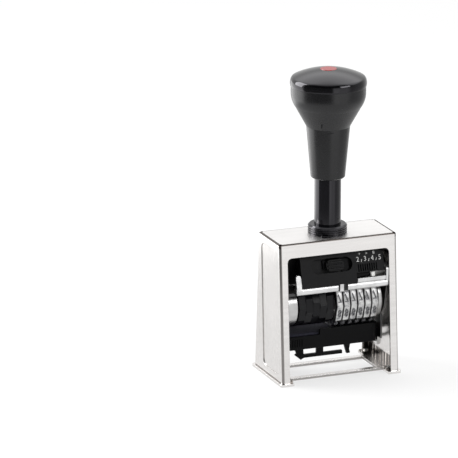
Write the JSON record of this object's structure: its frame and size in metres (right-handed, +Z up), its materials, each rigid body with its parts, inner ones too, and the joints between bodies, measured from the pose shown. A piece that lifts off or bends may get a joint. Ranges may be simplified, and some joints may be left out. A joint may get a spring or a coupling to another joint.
{
  "type": "numbering machine",
  "caption": "Self-inking numbering stamp: a knob handle drives a carriage of number wheels down in an open metal case while the ink pad swings out of the way.",
  "frame": {"origin": "middle of the base's footprint on the desk", "axes": "+Z up along the plunger, +X to the right seen from the front window, +Y to the back window"},
  "size_m": [0.062, 0.0372, 0.1478],
  "materials": {
    "case_nickel": "nickel-plated sheet, satin bright",
    "bright_steel": "bright zinc",
    "gloss_black": "polished moulding",
    "matte_black": "fine satin moulding",
    "cast_silver": "satin die casting",
    "wheel_metal": "plated type wheels",
    "red_inlay": "gloss",
    "white_mark": "satin",
    "felt": "ink-soaked felt",
    "rubber": "matte"
  },
  "bodies": {
    "case": {"case_shell": "case_nickel", "base_plate": "case_nickel", "base_screws": "bright_steel", "collar": "gloss_black", "collar_nut": "bright_steel", "guide_bracket_left": "bright_steel", "guide_bracket_right": "bright_steel", "bracket_rivets": "bright_steel", "guide_rods": "bright_steel", "return_springs": "bright_steel", "cam_pins": "bright_steel"},
    "carriage": {"stem": "gloss_black", "grip": "matte_black", "knob_cap": "gloss_black", "knob_inlay": "red_inlay", "handle_screw": "bright_steel", "carriage_block": "matte_black", "stem_pin": "bright_steel", "stop_washer": "rubber", "cheek_left": "bright_steel", "cheek_right": "bright_steel", "cheek_screws": "bright_steel", "tie_rod": "bright_steel", "wheel_axle": "bright_steel", "axle_clips": "bright_steel", "end_disc_left": "cast_silver", "end_disc_right": "cast_silver", "blank_rings": "matte_black", "frame_bar": "cast_silver", "front_cover": "matte_black", "detent_comb": "bright_steel"},
    "selector": {"selector_button": "matte_black", "selector_strip": "matte_black", "selector_pointer": "white_mark"},
    "pawls": {"pawl_sleeve": "bright_steel", "pawl_fingers": "bright_steel"},
    "ink_pad_holder": {"pad_tray": "matte_black", "ink_pad": "felt", "pad_arm_left": "matte_black", "pad_arm_right": "matte_black", "pad_clip": "matte_black"},
    "wheel_1": {"number_wheel_1": "wheel_metal"},
    "wheel_2": {"number_wheel_2": "wheel_metal"},
    "wheel_3": {"number_wheel_3": "wheel_metal"},
    "wheel_4": {"number_wheel_4": "wheel_metal"},
    "wheel_5": {"number_wheel_5": "wheel_metal"},
    "wheel_6": {"number_wheel_6": "wheel_metal"}
  },
  "joints": [
    {"name": "stroke", "type": "slide", "parent": "case", "child": "carriage", "axis": [0, 0, -1], "range_m": [0, 0.022], "stiffness_N_per_m": 420, "springref_m": -0.012, "deforming": ["return_springs"]},
    {"name": "pad_swing", "type": "hinge", "parent": "carriage", "child": "ink_pad_holder", "pos_m": [0, 0, 0.0345], "axis": [1, 0, 0], "range_deg": [0, 90]},
    {"name": "selector_slide", "type": "slide", "parent": "carriage", "child": "selector", "axis": [1, 0, 0], "range_m": [-0.0072, 0.0036]},
    {"name": "pawl_rock", "type": "hinge", "parent": "carriage", "child": "pawls", "pos_m": [0, 0.006, 0.0481], "axis": [1, 0, 0], "range_deg": [0, 16]},
    {"name": "wheel_1_turn", "type": "hinge", "parent": "carriage", "child": "wheel_1", "pos_m": [0, 0, 0.0345], "axis": [1, 0, 0], "continuous": true},
    {"name": "wheel_2_turn", "type": "hinge", "parent": "carriage", "child": "wheel_2", "pos_m": [0, 0, 0.0345], "axis": [1, 0, 0], "continuous": true},
    {"name": "wheel_3_turn", "type": "hinge", "parent": "carriage", "child": "wheel_3", "pos_m": [0, 0, 0.0345], "axis": [1, 0, 0], "continuous": true},
    {"name": "wheel_4_turn", "type": "hinge", "parent": "carriage", "child": "wheel_4", "pos_m": [0, 0, 0.0345], "axis": [1, 0, 0], "continuous": true},
    {"name": "wheel_5_turn", "type": "hinge", "parent": "carriage", "child": "wheel_5", "pos_m": [0, 0, 0.0345], "axis": [1, 0, 0], "continuous": true},
    {"name": "wheel_6_turn", "type": "hinge", "parent": "carriage", "child": "wheel_6", "pos_m": [0, 0, 0.0345], "axis": [1, 0, 0], "continuous": true}
  ],
  "couplings": [
    {"joint": "pad_swing", "follows": "stroke", "rad_per_m": 71.39},
    {"joint": "pawl_rock", "follows": "stroke", "rad_per_m": 12.69}
  ]
}
